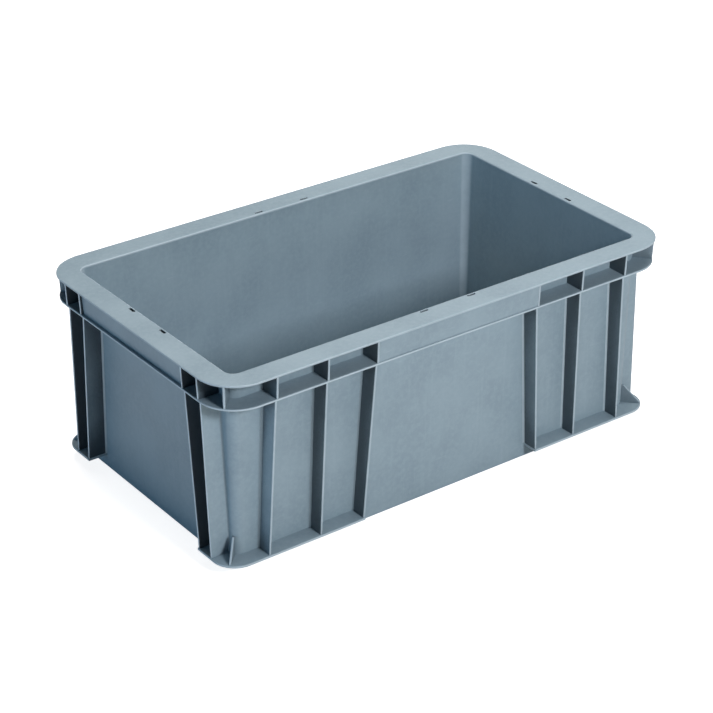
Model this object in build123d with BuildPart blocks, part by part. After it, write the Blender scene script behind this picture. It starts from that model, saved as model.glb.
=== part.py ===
"""Open-topped stacking crate, in millimetres.

The crate is a single rigid moulding. Each region of the moulding is its own solid, and the regions
meet face to face: floor, wall panels, wall corners, rim flange, rim ledge, skirts, gussets, ribs and
corner feet. The origin is on the ground under the centre, +Z is up and +X runs along the length.
"""

import os
from math import atan, degrees, sqrt

from build123d import *

os.makedirs("parts", exist_ok=True)

# Overall size, over the rim flange
length = 600.0
width = 356.0
height = 232.0

# Walls: insets are measured inwards from the rim's outer edge
mouth_inset = 29.0
wall_thickness = 2.5
wall_draft = 0.015  # inward lean of a wall for each millimetre of drop
mouth_radius = 11.0
foot_edge_radius = 1.5

# Rim: a flat flange on top, a thin ledge below it, and an open channel between the two
rim_radius = 45.0
flange_thickness = 2.5
flange_rounding = 0.9
mouth_rounding = 1.8
ledge_top = 204.5
ledge_thickness = 2.5
ledge_inset = 2.0
ledge_rounding = 0.6
skirt_thickness = 2.5
skirt_lean = 1.8  # how much further in a skirt's lower edge stands than its upper edge
long_skirt_inset = 1.2
short_skirt_inset = 4.0

# Lifting slots through the flange
slot_length = 11.0
slot_width = 3.2
slot_inset = 24.9
long_slot_spacing = 63.0
short_slot_spacing = 60.0

# Ribs and gussets: places along the wall at the ledge, and where the rib stands on its foot
web_thickness = 2.5
web_rounding = 0.8
long_rib_tops = (107.8, 170.2, 233.0)
long_rib_feet = (119.6, 175.3, 240.5)
short_rib_tops = (100.0, 129.0)
short_rib_feet = (112.5, 135.0)
gusset_top_inset = 1.2
gusset_foot_inset = 2.4
rib_top_inset = 5.0
long_rib_foot_inset = 10.5
short_rib_foot_inset = 7.5
corner_web_shift = 4.0  # how far each corner web's diagonal stands towards the short side

# Corner feet
foot_bottom = 15.0
foot_thickness = 3.0
long_foot_inset = 9.5
short_foot_inset = 6.5
foot_radius = 28.0
foot_rounding = 0.8
fin_height = 22.0
fin_edge = 1.5  # from the fin's toe to the foot's outer edge
ledge_web_height = 14.0
ledge_web_edge = 8.0  # from the web's tip to the ledge's outer edge
toe_height = 2.0  # blunt end of a fin or a ledge web

# Floor and its underside ribs
floor_bottom = 4.0
floor_thickness = 3.0
cove_radius = 6.0
long_base_ribs = (-75.0, 0.0, 75.0)
cross_base_ribs = (-200.0, -100.0, 0.0, 100.0, 200.0)

# Derived sizes
flange_bottom = height - flange_thickness
ledge_bottom = ledge_top - ledge_thickness
foot_top = foot_bottom + foot_thickness
floor_top = floor_bottom + floor_thickness
draft_angle = degrees(atan(wall_draft))
wall_inset = mouth_inset - wall_thickness
half_web = web_thickness / 2
panel_half_length = length / 2 - 50.0
panel_half_width = width / 2 - 50.0
corner_start = (length - width) / 2 + corner_web_shift
core = 120.0  # how far out the inner side of a web profile starts, well inside every wall
corners = {
    "front_left": (-1, -1),
    "front_right": (1, -1),
    "rear_left": (-1, 1),
    "rear_right": (1, 1),
}


def finish(piece, node):
    """Labels a finished piece and writes it as its own STEP file."""
    piece.part.label = node
    export_step(piece.part, f"parts/{node}.step")


def plan(inset, radius, end_inset=None, mode=Mode.ADD):
    """Rounded rectangle inside the rim's outer edge; its ends may have an inset of their own."""
    end_inset = inset if end_inset is None else end_inset
    RectangleRounded(length - 2 * end_inset, width - 2 * inset, radius, mode=mode)


def outline(*points):
    """Straight-sided face through the given points, where they stand."""
    Polygon(*points, align=None)


def drafted_block(inset, radius):
    """Solid as tall as the walls that narrows downwards with the walls' draft."""
    with BuildPart() as block:
        with BuildSketch(Plane.XY.offset(flange_bottom)):
            plan(inset, radius)
        extrude(amount=flange_bottom, dir=(0, 0, -1), taper=draft_angle)
    return block.part


def corner_reach(radius, inset, end_inset=None):
    """Distance along a corner's shifted diagonal to a rounded outline, from its start on the X axis."""
    end_inset = inset if end_inset is None else end_inset
    centre_x = length / 2 - end_inset - radius - corner_start
    centre_y = width / 2 - inset - radius
    along = (centre_x + centre_y) / sqrt(2)
    aside = (centre_x - centre_y) / sqrt(2)
    return along + sqrt(radius**2 - aside**2)


def corner_plane(x_side, y_side):
    """Upright plane along a corner's shifted diagonal: its x runs outwards and its y runs up."""
    start = (x_side * corner_start, 0, 0)
    return Plane(origin=start, x_dir=(x_side, y_side, 0), z_dir=(y_side, -x_side, 0))


outer_block = drafted_block(wall_inset, mouth_radius + wall_thickness)
inner_block = drafted_block(mouth_inset, mouth_radius)

# ---- Walls: one drafted shell, written as four flat panels and four rounded corners ----
with BuildPart() as wall_shell:
    add(outer_block)
    fillet(wall_shell.faces().sort_by(Axis.Z)[0].edges(), foot_edge_radius)
    add(inner_block, mode=Mode.SUBTRACT)

side_depth = (width - 2 * panel_half_width) / 2
end_depth = (length - 2 * panel_half_length) / 2
wall_regions = {
    "wall_front": ((0, -1), (2 * panel_half_length, side_depth)),
    "wall_rear": ((0, 1), (2 * panel_half_length, side_depth)),
    "wall_left": ((-1, 0), (end_depth, 2 * panel_half_width)),
    "wall_right": ((1, 0), (end_depth, 2 * panel_half_width)),
}
for corner, sides in corners.items():
    wall_regions[f"wall_corner_{corner}"] = (sides, (end_depth, side_depth))

for node, ((x_side, y_side), (x_size, y_size)) in wall_regions.items():
    with BuildPart() as wall_piece:
        add(wall_shell.part)
        centre = (
            x_side * (length - end_depth) / 2,
            y_side * (width - side_depth) / 2,
            height / 2,
        )
        with Locations(centre):
            Box(x_size, y_size, height, mode=Mode.INTERSECT)
    finish(wall_piece, node)

# ---- Floor, the cove where it meets the walls, and the ribs under it ----
with BuildPart() as floor_panel:
    with BuildSketch(Plane.XY.offset(floor_bottom)):
        Rectangle(length, width)
    extrude(amount=floor_thickness)
    add(inner_block, mode=Mode.INTERSECT)
finish(floor_panel, "floor_panel")

with BuildPart() as hollow:
    add(inner_block)
    split(bisect_by=Plane.XY.offset(floor_top), keep=Keep.TOP)
    fillet(hollow.faces().sort_by(Axis.Z)[0].edges(), cove_radius)

with BuildPart() as floor_cove:
    with BuildSketch(Plane.XY.offset(floor_top)):
        Rectangle(length, width)
    extrude(amount=cove_radius)
    add(inner_block, mode=Mode.INTERSECT)
    add(hollow.part, mode=Mode.SUBTRACT)
finish(floor_cove, "floor_cove")

with BuildPart() as base_ribs_long:
    with BuildSketch(Plane.XY):
        with Locations(*[(0, y) for y in long_base_ribs]):
            Rectangle(length, web_thickness)
    extrude(amount=floor_bottom)
    add(inner_block, mode=Mode.INTERSECT)
finish(base_ribs_long, "base_ribs_long")

with BuildPart() as base_ribs_cross:
    with BuildSketch(Plane.XY):
        with Locations(*[(x, 0) for x in cross_base_ribs]):
            Rectangle(web_thickness, width)
        with Locations(*[(0, y) for y in long_base_ribs]):
            Rectangle(length, web_thickness, mode=Mode.SUBTRACT)
    extrude(amount=floor_bottom)
    add(inner_block, mode=Mode.INTERSECT)
finish(base_ribs_cross, "base_ribs_cross")

# ---- Rim flange, with eight lifting slots beside the mouth ----
with BuildPart() as rim_flange:
    with BuildSketch(Plane.XY.offset(flange_bottom)):
        plan(0, rim_radius)
        plan(mouth_inset, mouth_radius, mode=Mode.SUBTRACT)
        with GridLocations(long_slot_spacing, width - 2 * slot_inset, 2, 2):
            SlotOverall(slot_length, slot_width, mode=Mode.SUBTRACT)
        with GridLocations(length - 2 * slot_inset, short_slot_spacing, 2, 2):
            SlotOverall(slot_length, slot_width, rotation=90, mode=Mode.SUBTRACT)
    extrude(amount=flange_thickness)
    flange_faces = rim_flange.faces().filter_by(Axis.Z).sort_by(Axis.Z)
    outer_edges = flange_faces[0].outer_wire().edges() + flange_faces[-1].outer_wire().edges()
    fillet(outer_edges, flange_rounding)
    mouth_face = rim_flange.faces().filter_by(Axis.Z).sort_by(Axis.Z)[-1]
    mouth_wire = mouth_face.inner_wires().sort_by(SortBy.LENGTH)[-1]
    fillet(mouth_wire.edges(), mouth_rounding)
finish(rim_flange, "rim_flange")

# ---- Rim ledge: the thin shelf that closes the rim channel from below ----
with BuildPart() as rim_ledge:
    with BuildSketch(Plane.XY.offset(ledge_bottom)):
        plan(ledge_inset, rim_radius - ledge_inset)
    extrude(amount=ledge_thickness)
    ledge_faces = rim_ledge.faces().filter_by(Axis.Z)
    fillet(ledge_faces.edges(), ledge_rounding)
    add(outer_block, mode=Mode.SUBTRACT)
finish(rim_ledge, "rim_ledge")


# ---- Skirts: the closed middle stretch of the rim channel on each side ----
def skirt(across, inset, side, half_run, face_plane):
    """Leaning strip from ledge to flange; across is the crate's size square to the strip."""
    upper = side * (across / 2 - inset)
    lower = side * (across / 2 - inset - skirt_lean)
    with BuildPart() as strip:
        with BuildSketch(face_plane):
            outline(
                (lower, ledge_top),
                (upper, flange_bottom),
                (upper - side * skirt_thickness, flange_bottom),
                (lower - side * skirt_thickness, ledge_top),
            )
        extrude(amount=half_run, both=True)
    return strip


finish(skirt(width, long_skirt_inset, -1, long_rib_tops[0] - half_web, Plane.YZ), "rim_skirt_front")
finish(skirt(width, long_skirt_inset, 1, long_rib_tops[0] - half_web, Plane.YZ), "rim_skirt_rear")
finish(skirt(length, short_skirt_inset, -1, short_rib_tops[0] - half_web, Plane.XZ), "rim_skirt_left")
finish(skirt(length, short_skirt_inset, 1, short_rib_tops[0] - half_web, Plane.XZ), "rim_skirt_right")


# ---- Webs: upright ribs and gussets that stand square to a wall ----
def webs(across, side, face_plane, profile_plane, span, tops, feet, top_inset, foot_inset):
    """Upright webs on one side of the crate, trimmed to the wall.

    face_plane shows the webs edge-on, from the foot places to the top places, and profile_plane
    shows their outline, from the wall out to an edge that leans between the two insets.
    """
    low, high = span
    with BuildPart() as group:
        with BuildSketch(face_plane):
            for mirrored in (-1, 1):
                for top, foot in zip(tops, feet):
                    outline(
                        (mirrored * foot - half_web, low),
                        (mirrored * foot + half_web, low),
                        (mirrored * top + half_web, high),
                        (mirrored * top - half_web, high),
                    )
        extrude(amount=length, both=True)
        with BuildSketch(profile_plane):
            outline(
                (side * core, low),
                (side * (across / 2 - foot_inset), low),
                (side * (across / 2 - top_inset), high),
                (side * core, high),
            )
        extrude(amount=length, both=True, mode=Mode.INTERSECT)
        outer_edges = group.edges().filter_by(
            lambda edge: edge.length > web_thickness
            and side * (edge @ 0.5).dot(profile_plane.x_dir) > across / 2 - foot_inset
        )
        fillet(outer_edges, web_rounding)
        add(outer_block, mode=Mode.SUBTRACT)
    return group


rib_span = (foot_top, ledge_bottom)
gusset_span = (ledge_top, flange_bottom)
long_rib_insets = (rib_top_inset, long_rib_foot_inset)
short_rib_insets = (rib_top_inset, short_rib_foot_inset)
gusset_insets = (gusset_top_inset, gusset_foot_inset)
long_view = (Plane.XZ, Plane.YZ)
short_view = (Plane.YZ, Plane.XZ)

for name, side in (("front", -1), ("rear", 1)):
    ribs = webs(width, side, *long_view, rib_span, long_rib_tops, long_rib_feet, *long_rib_insets)
    finish(ribs, f"wall_ribs_{name}")
    gussets = webs(width, side, *long_view, gusset_span, long_rib_tops, long_rib_tops, *gusset_insets)
    finish(gussets, f"rim_gussets_{name}")

for name, side in (("left", -1), ("right", 1)):
    ribs = webs(length, side, *short_view, rib_span, short_rib_tops, short_rib_feet, *short_rib_insets)
    finish(ribs, f"wall_ribs_{name}")
    gussets = webs(length, side, *short_view, gusset_span, short_rib_tops, short_rib_tops, *gusset_insets)
    finish(gussets, f"rim_gussets_{name}")


# ---- Corner webs: on each corner's diagonal, one in the rim, one under the ledge, one on the foot ----
def is_outer_corner_edge(edge):
    """True for the rising edges of a corner web that stand clear of the wall."""
    middle = edge @ 0.5
    reach = (abs(middle.X) + abs(middle.Y) - corner_start) / sqrt(2)
    return edge.bounding_box().size.Z > toe_height / 2 and reach > wall_face + web_thickness


wall_reach = corner_reach(mouth_radius, mouth_inset) - 5 * wall_thickness
rim_reach = corner_reach(rim_radius, 0)
foot_reach = corner_reach(foot_radius, long_foot_inset, short_foot_inset)
ledge_web_tip = corner_reach(rim_radius - ledge_inset, ledge_inset) - ledge_web_edge
wall_face = corner_reach(mouth_radius + wall_thickness, wall_inset)
corner_webs = {
    "rim_gussets_corner": (
        (wall_reach, ledge_top),
        (rim_reach - gusset_foot_inset, ledge_top),
        (rim_reach - gusset_top_inset, flange_bottom),
        (wall_reach, flange_bottom),
    ),
    "ledge_webs": (
        (wall_reach, ledge_bottom),
        (ledge_web_tip, ledge_bottom),
        (ledge_web_tip, ledge_bottom - toe_height),
        (wall_face, ledge_bottom - ledge_web_height),
        (wall_reach, ledge_bottom - ledge_web_height),
    ),
    "foot_fins": (
        (wall_reach, foot_top),
        (foot_reach - fin_edge, foot_top),
        (foot_reach - fin_edge, foot_top + toe_height),
        (wall_face, foot_top + fin_height),
        (wall_reach, foot_top + fin_height),
    ),
}
for node, points in corner_webs.items():
    with BuildPart() as corner_group:
        for x_side, y_side in corners.values():
            with BuildSketch(corner_plane(x_side, y_side)):
                outline(*points)
            extrude(amount=half_web, both=True)
        add(outer_block, mode=Mode.SUBTRACT)
        fillet(corner_group.edges().filter_by(is_outer_corner_edge), web_rounding)
    finish(corner_group, node)

# ---- Corner feet: flanges that run from the last long-side rib round to the last short-side rib ----
foot_start_x = long_rib_feet[0] - half_web
foot_start_y = short_rib_feet[0] - half_web
with BuildPart() as foot_ring:
    with BuildSketch(Plane.XY.offset(foot_bottom)):
        plan(long_foot_inset, foot_radius, short_foot_inset)
    extrude(amount=foot_thickness)
    fillet(foot_ring.faces().filter_by(Axis.Z).edges(), foot_rounding)
    add(outer_block, mode=Mode.SUBTRACT)

for corner, (x_side, y_side) in corners.items():
    with BuildPart() as foot_flange:
        add(foot_ring.part)
        x_size = length / 2 - foot_start_x
        y_size = width / 2 - foot_start_y
        centre = (
            x_side * (foot_start_x + x_size / 2),
            y_side * (foot_start_y + y_size / 2),
            foot_bottom,
        )
        with Locations(centre):
            Box(x_size, y_size, height, mode=Mode.INTERSECT)
    finish(foot_flange, f"foot_flange_{corner}")
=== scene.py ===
"""Looks of the stacking crate: moulded plastic, a pale floor, soft studio light and the camera."""

import math

import bmesh
import bpy
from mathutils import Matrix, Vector


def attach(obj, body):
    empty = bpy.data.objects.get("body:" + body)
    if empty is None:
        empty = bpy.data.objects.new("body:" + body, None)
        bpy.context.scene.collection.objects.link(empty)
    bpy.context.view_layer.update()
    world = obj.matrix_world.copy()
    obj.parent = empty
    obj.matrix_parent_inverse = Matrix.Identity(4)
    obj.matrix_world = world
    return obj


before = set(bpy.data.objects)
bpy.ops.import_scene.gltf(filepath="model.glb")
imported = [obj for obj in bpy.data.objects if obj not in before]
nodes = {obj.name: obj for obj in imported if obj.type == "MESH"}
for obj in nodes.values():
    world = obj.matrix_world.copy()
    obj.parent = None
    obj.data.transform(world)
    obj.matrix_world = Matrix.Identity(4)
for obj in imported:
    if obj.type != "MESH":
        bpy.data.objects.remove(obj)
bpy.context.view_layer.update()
scene = bpy.context.scene

# Colours of the plastic, of its scuffs and the painted highlights on its edges, and of the painted
# shade in its recesses, linear
PLASTIC = (0.262, 0.352, 0.408)
PLASTIC_DEEP = (0.222, 0.305, 0.360)
PLASTIC_PALE = (0.300, 0.392, 0.448)
WORN_AND_HIGHLIGHT = (0.47, 0.57, 0.63)
PALE_WORN_AND_HIGHLIGHT = (0.64, 0.74, 0.80)
PAINTED_SHADE = (0.030, 0.046, 0.062)

# Grain of the moulding: noise cycles for each metre
CLOUD_SCALE = 14.0
MOTTLE_SCALE = 190.0
GRAIN_SCALE = 1500.0
PATCH_SCALE = 60.0
DRAW_MARK_SCALE = (160.0, 160.0, 6.0)
SCRATCH_SCALE = (40.0, 900.0, 260.0)
SCRATCH_TURN = (0.5, 0.4, 0.6)

# Painted highlights on edges, painted shade in recesses, and the surface
MOTTLE_STRENGTH = 0.45
ARRIS_RADIUS = 0.0009
ARRIS_HIGHLIGHT = 0.45
SHADE_REACH = 0.07  # how far away a face still shelters a recess, in metres
SHADE_SPAN = 0.2
BUMP_STRENGTH = 0.35
BUMP_DISTANCE = 0.0002
ROUGHNESS = (0.46, 0.62)
PLASTIC_IOR = 1.49

# Sizes of the crate that the root fillets follow, in metres
LENGTH = 0.600
WIDTH = 0.356
WALL_INSET = 0.0265
WALL_DRAFT = 0.015
WALL_TOP = 0.2295
RIB_LOW = 0.018
RIB_HIGH = 0.202
HALF_WEB = 0.00125
LONG_RIB_TOPS = (0.1078, 0.1702, 0.2330)
LONG_RIB_FEET = (0.1196, 0.1753, 0.2405)
SHORT_RIB_TOPS = (0.1000, 0.1290)
SHORT_RIB_FEET = (0.1125, 0.1350)


# ---- Materials ----
class Graph:
    """Short way to build a shader node graph."""

    def __init__(self, material):
        material.use_nodes = True
        self.tree = material.node_tree
        self.tree.nodes.clear()

    def feed(self, value, socket):
        if isinstance(value, bpy.types.NodeSocket):
            self.tree.links.new(value, socket)
        else:
            socket.default_value = value

    def node(self, kind, inputs=(), **settings):
        made = self.tree.nodes.new(kind)
        for key, value in settings.items():
            setattr(made, key, value)
        for key, value in dict(inputs).items():
            self.feed(value, made.inputs[key])
        return made

    def math(self, operation, a, b=0.0):
        made = self.node("ShaderNodeMath", {0: a, 1: b}, operation=operation)
        return made.outputs[0]

    def span(self, value, low, high, out_low=0.0, out_high=1.0):
        """Smooth step of a value from one range to another."""
        ends = {"From Min": low, "From Max": high, "To Min": out_low, "To Max": out_high}
        made = self.node(
            "ShaderNodeMapRange", {"Value": value, **ends}, interpolation_type="SMOOTHSTEP"
        )
        return made.outputs["Result"]

    def noise(self, vector, scale, detail, roughness):
        made = self.node(
            "ShaderNodeTexNoise",
            {"Vector": vector, "Scale": scale, "Detail": detail, "Roughness": roughness},
        )
        return made.outputs["Fac"]

    def stretched(self, vector, scale, turn=(0.0, 0.0, 0.0)):
        """The same place, squeezed and turned, so that a noise pattern runs in one direction."""
        made = self.node("ShaderNodeMapping", {"Vector": vector, "Scale": scale, "Rotation": turn})
        return made.outputs["Vector"]

    def axes(self, vector):
        return self.node("ShaderNodeSeparateXYZ", {"Vector": vector}).outputs

    def mix(self, factor, a, b):
        made = self.node("ShaderNodeMix", data_type="RGBA")
        self.feed(factor, made.inputs["Factor"])
        self.feed(a, made.inputs[6])
        self.feed(b, made.inputs[7])
        return made.outputs[2]


def rgba(colour):
    return (*colour, 1.0)


def outward(g, normal_axes, place):
    """How squarely a surface point faces out along its own corner's diagonal."""
    p = g.axes(place)
    along_x = g.math("MULTIPLY", g.math("SIGN", p["X"]), normal_axes["X"])
    along_y = g.math("MULTIPLY", g.math("SIGN", p["Y"]), normal_axes["Y"])
    return g.math("MULTIPLY", g.math("ADD", along_x, along_y), math.sqrt(0.5))


def edge_face(g, kind, normal, place):
    """How far a surface point is on the thin outer edge of a web or plate, from its own normal."""
    n = g.axes(normal)
    if kind == "plate":
        return g.math("SUBTRACT", 1.0, g.math("ABSOLUTE", n["Z"]))
    if kind == "corner":
        return outward(g, n, place)
    if kind == "inner corner":
        return g.math("MULTIPLY", outward(g, n, place), -1.0)
    return g.math("ABSOLUTE", n["Y" if kind == "long" else "X"])


def moulded_plastic(
    name,
    edges,
    edge_highlight,
    edge_span=(0.45, 0.85),
    worn_and_highlight=WORN_AND_HIGHLIGHT,
    recess=0.0,
    openness=0.68,
    draw_marks=0.0,
    scuffs=0.0,
    unshaded_beyond=None,
    seamless=False,
):
    """Matt polypropylene.

    Cloudy tone and fine spark-eroded grain, draw marks up the walls, scuffs, edges lightened pale
    as a painted highlight, and painted shade where a recess is deep. edges names the way in which
    the piece's outer edges face, openness is how open a place has to be to stay free of painted
    shade, and faces that look away from the middle get no painted shade when they stand further
    out along the short side than a given distance. A seamless piece runs on into its neighbours,
    so its ends are neither rounded nor given a painted highlight.
    """
    material = bpy.data.materials.new(name)
    g = Graph(material)
    place = g.node("ShaderNodeTexCoord").outputs["Object"]
    flat = g.node("ShaderNodeNewGeometry").outputs["Normal"]

    cloud = g.noise(place, CLOUD_SCALE, 3.0, 0.55)
    mottle = g.noise(place, MOTTLE_SCALE, 3.0, 0.65)
    grain = g.noise(place, GRAIN_SCALE, 2.0, 0.6)
    marks = g.noise(g.stretched(place, DRAW_MARK_SCALE), 1.0, 3.0, 0.6)
    scratch_field = g.noise(g.stretched(place, SCRATCH_SCALE, SCRATCH_TURN), 1.0, 2.0, 0.5)
    scratches = g.span(scratch_field, 0.68, 0.76)

    colour = g.mix(g.span(cloud, 0.3, 0.7), rgba(PLASTIC_DEEP), rgba(PLASTIC))
    mottled = g.math("MULTIPLY", g.span(mottle, 0.35, 0.75), MOTTLE_STRENGTH)
    colour = g.mix(mottled, colour, rgba(PLASTIC_PALE))
    marked = g.math("MULTIPLY", g.span(marks, 0.5, 0.8), draw_marks)
    colour = g.mix(marked, colour, rgba(PLASTIC_PALE))
    colour = g.mix(g.math("MULTIPLY", scratches, scuffs), colour, rgba(worn_and_highlight))

    # Painted shade: ambient occlusion darkens recesses, slots and the faces between close ribs
    # towards a near-black blue.
    if recess:
        sky = g.node("ShaderNodeAmbientOcclusion", {"Distance": SHADE_REACH}, samples=8)
        sheltered = g.span(sky.outputs["AO"], openness, openness - SHADE_SPAN)
        painted_shade = g.math("MULTIPLY", sheltered, recess)
        # Faces of the outermost short-side ribs that look away from the middle are left without
        # painted shade.
        if unshaded_beyond:
            y = g.axes(place)["Y"]
            away = g.math("MULTIPLY", g.math("SIGN", y), g.axes(flat)["Y"])
            far_out = g.math("GREATER_THAN", g.math("ABSOLUTE", y), unshaded_beyond)
            unshaded = g.math("MULTIPLY", g.math("GREATER_THAN", away, 0.5), far_out)
            painted_shade = g.math("MULTIPLY", painted_shade, g.math("SUBTRACT", 1.0, unshaded))
        colour = g.mix(painted_shade, colour, rgba(PAINTED_SHADE))

    # Painted highlights: thin outer edges, found from the normal, and arrises rounded by the bevel
    # are lightened towards the pale colour, patchily, and less where painted shade lies.
    shape = flat
    highlighted = []
    if edge_highlight:
        highlighted.append(g.span(edge_face(g, edges, flat, place), *edge_span, 0.0, edge_highlight))
    if not seamless:
        shape = g.node("ShaderNodeBevel", {"Radius": ARRIS_RADIUS}, samples=6).outputs["Normal"]
        dot = g.node("ShaderNodeVectorMath", {0: flat, 1: shape}, operation="DOT_PRODUCT")
        highlighted.append(g.math("MULTIPLY", g.span(dot.outputs["Value"], 0.99, 0.86), ARRIS_HIGHLIGHT))
    patchy = g.span(g.noise(place, PATCH_SCALE, 2.0, 0.6), 0.25, 0.6, 0.75, 1.0)
    for each in highlighted:
        highlight = g.math("MULTIPLY", each, patchy)
        if recess:
            highlight = g.math("MULTIPLY", highlight, g.math("SUBTRACT", 1.0, painted_shade))
        colour = g.mix(highlight, colour, rgba(worn_and_highlight))

    height = g.math("ADD", g.math("MULTIPLY", grain, 0.5), g.math("MULTIPLY", mottle, 0.5))
    bump = g.node("ShaderNodeBump", {
        "Height": height,
        "Strength": BUMP_STRENGTH,
        "Distance": BUMP_DISTANCE,
        "Normal": shape,
    })
    sheen_field = g.math("ADD", g.math("MULTIPLY", cloud, 0.5), g.math("MULTIPLY", grain, 0.5))
    shader = g.node("ShaderNodeBsdfPrincipled", {
        "Base Color": colour,
        "Roughness": g.span(sheen_field, 0.3, 0.7, *ROUGHNESS),
        "Normal": bump.outputs["Normal"],
        "IOR": PLASTIC_IOR,
    })
    g.node("ShaderNodeOutputMaterial", {"Surface": shader.outputs[0]})
    return material


# The number after each edge kind is the strength of the painted highlight on outer edges; a recess
# setting adds painted shade in hollows.
wall_plastic = moulded_plastic(
    "crate_wall_plastic", "plate", 0.0, draw_marks=0.35, scuffs=0.08, seamless=True
)
# The inner corner arcs carry a pale vertical strip, a painted highlight.
corner_wall_plastic = moulded_plastic(
    "crate_corner_wall_plastic", "inner corner", 0.5, edge_span=(0.76, 0.96),
    draw_marks=0.35, scuffs=0.08, seamless=True,
)
# The rim gets a painted highlight along its mouth and outer edges and painted shade in its slots
# and under the flange.
rim_plastic = moulded_plastic(
    "crate_rim_plastic", "plate", 0.6, edge_span=(0.03, 0.30), recess=0.9, openness=0.5,
    scuffs=0.18,
)
ledge_plastic = moulded_plastic("crate_ledge_plastic", "plate", 0.85, recess=0.08, scuffs=0.08)
skirt_plastic = moulded_plastic("crate_skirt_plastic", "plate", 0.0, scuffs=0.15)
base_plastic = moulded_plastic("crate_base_plastic", "plate", 0.2, scuffs=0.35)
floor_plastic = moulded_plastic("crate_floor_plastic", "plate", 0.1, scuffs=0.35, seamless=True)
long_web_plastic = moulded_plastic(
    "crate_long_web_plastic", "long", 0.65, recess=0.78, scuffs=0.06
)
# The short side's webs get paler painted highlights and deeper painted shade between the ribs.
short_web_plastic = moulded_plastic(
    "crate_short_web_plastic", "short", 0.95, worn_and_highlight=PALE_WORN_AND_HIGHLIGHT, recess=0.92, openness=0.73,
    scuffs=0.03, unshaded_beyond=0.12,
)
short_gusset_plastic = moulded_plastic(
    "crate_short_gusset_plastic", "short", 0.95, worn_and_highlight=PALE_WORN_AND_HIGHLIGHT, recess=0.92, openness=0.73,
    scuffs=0.03,
)
corner_web_plastic = moulded_plastic(
    "crate_corner_web_plastic", "corner", 0.75, recess=0.5, scuffs=0.06
)
# Root fillets on the plus halves get a strong painted highlight, the others a faint one.
fillet_plastic = moulded_plastic("crate_fillet_plastic", "plate", 0.12)
highlighted_fillet_plastic = moulded_plastic("crate_highlighted_fillet_plastic", "plate", 0.85)

MATERIAL_OF_PREFIX = {
    "wall_ribs_front": long_web_plastic,
    "wall_ribs_rear": long_web_plastic,
    "wall_ribs_left": short_web_plastic,
    "wall_ribs_right": short_web_plastic,
    "rim_gussets_front": long_web_plastic,
    "rim_gussets_rear": long_web_plastic,
    "rim_gussets_left": short_gusset_plastic,
    "rim_gussets_right": short_gusset_plastic,
    "rim_gussets_corner": corner_web_plastic,
    "ledge_webs": corner_web_plastic,
    "foot_fins": corner_web_plastic,
    "foot_flange": ledge_plastic,
    "rim_ledge": ledge_plastic,
    "rim_skirt": skirt_plastic,
    "rim_flange": rim_plastic,
    "wall_corner": corner_wall_plastic,
    "wall": wall_plastic,
    "floor": floor_plastic,
}


def material_for(name):
    for prefix, material in MATERIAL_OF_PREFIX.items():
        if name.startswith(prefix):
            return material
    return base_plastic


for name, piece in nodes.items():
    piece.data.materials.clear()
    piece.data.materials.append(material_for(name))


# ---- Root fillets: the small concave strips where each rib meets its wall ----
FILLET = 0.0016
FILLET_STEPS = 6
EMBED = 0.0003  # how far a strip's hidden corner reaches into the rib and the wall


def fillet_section(along, out, side, turn):
    """Cross-section of one strip: along the wall, and out from the wall."""
    points = [(along - turn * EMBED, out + side * FILLET)]
    for step in range(FILLET_STEPS + 1):
        angle = math.pi / 2 * step / FILLET_STEPS
        points.append((
            along + turn * FILLET * (1 - math.cos(angle)),
            out + side * FILLET * (1 - math.sin(angle)),
        ))
    points.append((along + turn * FILLET, out - side * EMBED))
    points.append((along - turn * EMBED, out - side * EMBED))
    return points


def root_fillets(name, across, tops, feet, side, lengthways):
    """One mesh with all of a side's strips: plain on the minus half, with a painted highlight on
    the plus half.
    """
    vertices = []
    faces = []
    highlighted = []
    for mirrored in (-1, 1):
        for top, foot in zip(tops, feet):
            for turn in (-1, 1):
                rings = []
                for height, centre in ((RIB_LOW, foot), (RIB_HIGH, top)):
                    wall = side * (across / 2 - WALL_INSET - WALL_DRAFT * (WALL_TOP - height))
                    along = mirrored * centre + turn * HALF_WEB
                    ring = []
                    for a, b in fillet_section(along, wall, side, turn):
                        ring.append(len(vertices))
                        vertices.append((a, b, height) if lengthways else (b, a, height))
                    rings.append(ring)
                low, high = rings
                count = len(low)
                for i in range(count):
                    j = (i + 1) % count
                    faces.append((low[i], low[j], high[j], high[i]))
                faces.append(tuple(reversed(low)))
                faces.append(tuple(high))
                highlighted += [mirrored > 0] * (count + 2)
    mesh = bpy.data.meshes.new(name)
    mesh.from_pydata(vertices, [], faces)
    mesh.materials.append(fillet_plastic)
    mesh.materials.append(highlighted_fillet_plastic)
    mesh.polygons.foreach_set("material_index", [int(each) for each in highlighted])
    strips = bpy.data.objects.new(name, mesh)
    scene.collection.objects.link(strips)
    tidy = bmesh.new()
    tidy.from_mesh(mesh)
    bmesh.ops.recalc_face_normals(tidy, faces=tidy.faces)
    tidy.to_mesh(mesh)
    tidy.free()
    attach(strips, "root")


root_fillets("rib_root_fillets_front", WIDTH, LONG_RIB_TOPS, LONG_RIB_FEET, -1, True)
root_fillets("rib_root_fillets_rear", WIDTH, LONG_RIB_TOPS, LONG_RIB_FEET, 1, True)
root_fillets("rib_root_fillets_left", LENGTH, SHORT_RIB_TOPS, SHORT_RIB_FEET, -1, False)
root_fillets("rib_root_fillets_right", LENGTH, SHORT_RIB_TOPS, SHORT_RIB_FEET, 1, False)

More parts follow.
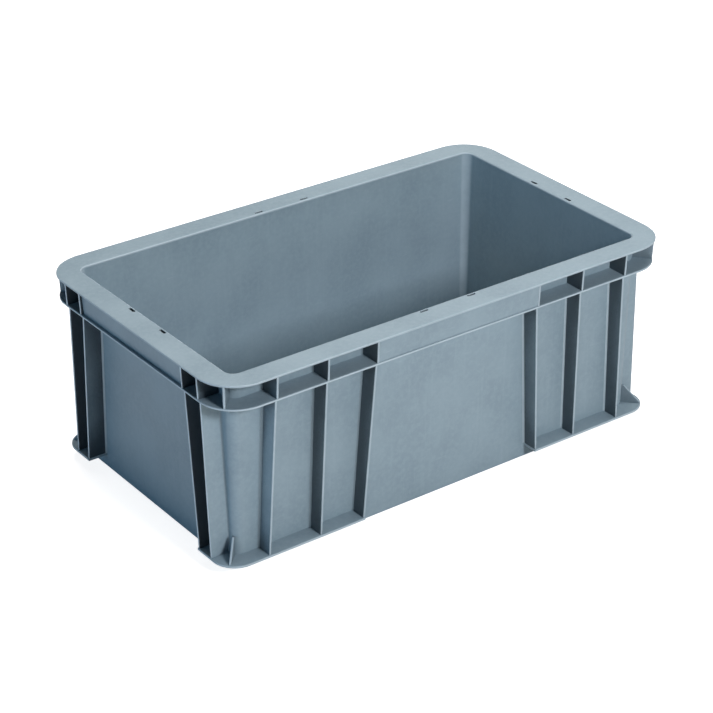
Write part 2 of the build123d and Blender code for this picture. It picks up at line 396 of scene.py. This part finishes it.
# ---- Floor ----
FLOOR_HALF = 30.0
FLOOR_GLOW = 0.86  # only what the camera sees, so the floor stays pale without lighting the crate
FLOOR_TONE = (0.7, 0.7, 0.7)
mesh = bpy.data.meshes.new("studio_floor")
mesh.from_pydata(
    [
        (-FLOOR_HALF, -FLOOR_HALF, 0),
        (FLOOR_HALF, -FLOOR_HALF, 0),
        (FLOOR_HALF, FLOOR_HALF, 0),
        (-FLOOR_HALF, FLOOR_HALF, 0),
    ],
    [],
    [(0, 1, 2, 3)],
)
floor = bpy.data.objects.new("studio_floor", mesh)
scene.collection.objects.link(floor)
floor_material = bpy.data.materials.new("studio_floor_white")
g = Graph(floor_material)
seen = g.node("ShaderNodeLightPath").outputs["Is Camera Ray"]
glow = g.node("ShaderNodeEmission", {
    "Color": (1, 1, 1, 1),
    "Strength": g.math("MULTIPLY", seen, FLOOR_GLOW),
})
matt = g.node("ShaderNodeBsdfDiffuse", {"Color": rgba(FLOOR_TONE)})
both = g.node("ShaderNodeAddShader", {0: glow.outputs[0], 1: matt.outputs[0]})
g.node("ShaderNodeOutputMaterial", {"Surface": both.outputs[0]})
floor.data.materials.append(floor_material)

# ---- Light ----
SKY_LIGHT = 0.02
SKY_SEEN = 1.02  # added for camera rays alone, for a white backdrop
AIM = Vector((0.0, 0.0, 0.1))

world = bpy.data.worlds.new("studio")
scene.world = world
g = Graph(world)
seen = g.node("ShaderNodeLightPath").outputs["Is Camera Ray"]
sky = g.node("ShaderNodeBackground", {
    "Color": (1, 1, 1, 1),
    "Strength": g.math("ADD", SKY_LIGHT, g.math("MULTIPLY", seen, SKY_SEEN)),
})
g.node("ShaderNodeOutputWorld", {"Surface": sky.outputs[0]})


def soft_light(name, place, size, power, colour=(1.0, 1.0, 1.0)):
    data = bpy.data.lights.new(name, "AREA")
    data.shape = "RECTANGLE"
    data.size, data.size_y = size
    data.energy = power
    data.color = colour
    lamp = bpy.data.objects.new(name, data)
    lamp.location = place
    lamp.rotation_mode = "QUATERNION"
    lamp.rotation_quaternion = (AIM - Vector(place)).to_track_quat("-Z", "Y")
    scene.collection.objects.link(lamp)


soft_light("key_front", (0.0, -2.5, 1.65), (0.5, 0.5), 48.0, (0.97, 0.96, 1.0))
soft_light("low_front", (0.0, -2.6, 0.7), (0.5, 0.5), 5.0, (0.9, 1.0, 0.9))
soft_light("top_softbox", (0.4, 0.2, 2.7), (2.0, 1.8), 71.5, (1.0, 0.95, 0.91))
soft_light("side_left", (-2.6, 0.1, 0.45), (0.8, 0.6), 12.5, (0.40, 0.70, 1.0))
soft_light("fill_rear_right", (2.4, 2.4, 0.6), (1.2, 0.8), 13.0)

# ---- Camera ----
lens = bpy.data.cameras.new("view_camera")
lens.sensor_width = 36.0
lens.lens = 111.81
camera = bpy.data.objects.new("view_camera", lens)
camera.location = (-1.3089, -1.7620, 1.2859)
camera.rotation_mode = "QUATERNION"
camera.rotation_quaternion = Vector((0.52327, 0.70757, -0.47491)).to_track_quat("-Z", "Y")
scene.collection.objects.link(camera)
scene.camera = camera

scene.view_settings.view_transform = "Standard"
